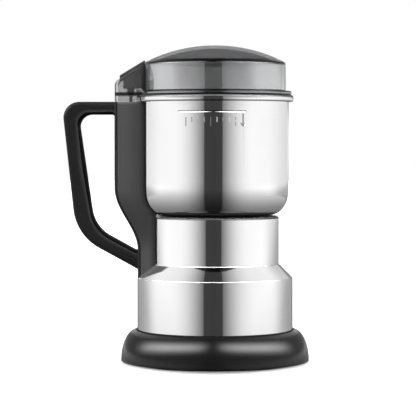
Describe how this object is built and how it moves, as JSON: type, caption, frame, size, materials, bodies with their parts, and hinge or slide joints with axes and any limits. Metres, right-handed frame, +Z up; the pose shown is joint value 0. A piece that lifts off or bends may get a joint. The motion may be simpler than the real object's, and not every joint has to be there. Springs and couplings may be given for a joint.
{
  "type": "electric grain mill",
  "caption": "Electric blade mill for grain and spices, with a steel bowl, a smoky clear lid, a press key over a side handle, and a black base.",
  "frame": {"origin": "on the mill's axis, on the surface that its foot ring stands on", "axes": "+Z up along the motor shaft; -X towards the handle; +Y towards the back, where the mains lead enters"},
  "size_m": [0.1631, 0.1268, 0.2107],
  "materials": {
    "steel": "polished stainless sheet",
    "base_plastic": "gloss",
    "handle_plastic": "satin",
    "lid_plastic": "smoky, clear",
    "rubber": "matt",
    "silicone": "matt",
    "nylon": "matt",
    "switch_plastic": "matt",
    "fastener": "zinc plated",
    "casting": "as cast",
    "iron": "laminated",
    "copper": "enamelled copper",
    "brass": "plain",
    "carbon": "carbon"
  },
  "bodies": {
    "housing": {"base": "base_plastic", "bottom_plate": "base_plastic", "foot_ring": "rubber", "base_screws": "fastener", "cord_gland": "rubber", "terminal_block": "nylon", "drum_housing": "steel", "bowl_gasket": "rubber", "bowl": "steel", "bowl_nut": "steel", "shaft_seal": "rubber", "handle_column": "handle_plastic", "handle_grip": "handle_plastic", "column_screws": "fastener", "grip_screw": "fastener", "wire_grommet": "rubber", "plunger_spring": "fastener", "microswitch": "switch_plastic", "switch_leads": "switch_plastic", "upper_bracket": "casting", "upper_bearing": "steel", "stator_core": "iron", "field_coils": "copper", "motor_bolts": "fastener", "lower_bridge": "casting", "lower_bearing": "steel", "brush_holders": "brass", "carbon_brushes": "carbon", "brush_springs": "fastener"},
    "rotor": {"motor_shaft": "steel", "rotor_core": "iron", "rotor_winding": "copper", "commutator": "copper", "cooling_fan": "nylon", "blade_spacer": "steel", "lower_blade": "steel", "upper_blade": "steel", "blade_cap": "steel"},
    "lid": {"lid": "lid_plastic", "lid_seal": "silicone", "key_spring": "fastener"},
    "press_key": {"press_key": "handle_plastic"},
    "plunger": {"switch_plunger": "nylon"},
    "lever": {"switch_lever": "fastener"},
    "button": {"switch_button": "nylon"}
  },
  "joints": [
    {"name": "rotor_spin", "type": "hinge", "parent": "housing", "child": "rotor", "pos_m": [0, 0, 0.06], "axis": [0, 0, 1], "continuous": true},
    {"name": "lid_lift", "type": "slide", "parent": "housing", "child": "lid", "axis": [0, 0, 1], "range_m": [0, 0.06]},
    {"name": "press_key_travel", "type": "slide", "parent": "lid", "child": "press_key", "axis": [0, 0, -1], "range_m": [0, 0.0025], "stiffness_N_per_m": 600, "springref_m": -0.003, "deforming": ["key_spring"]},
    {"name": "plunger_travel", "type": "slide", "parent": "housing", "child": "plunger", "axis": [0, 0, -1], "range_m": [0, 0.0025], "stiffness_N_per_m": 250, "springref_m": -0.003, "deforming": ["plunger_spring"]},
    {"name": "lever_swing", "type": "hinge", "parent": "housing", "child": "lever", "pos_m": [-0.056, -0.0085, 0.14797], "axis": [-1, 0, 0], "range_deg": [0, 15]},
    {"name": "button_travel", "type": "slide", "parent": "housing", "child": "button", "axis": [0, 0, -1], "range_m": [0, 0.0009]}
  ],
  "couplings": [
    {"joint": "plunger_travel", "follows": "press_key_travel", "ratio": 1},
    {"joint": "lever_swing", "follows": "press_key_travel", "rad_per_m": 104.17},
    {"joint": "button_travel", "follows": "press_key_travel", "ratio": 0.36}
  ]
}
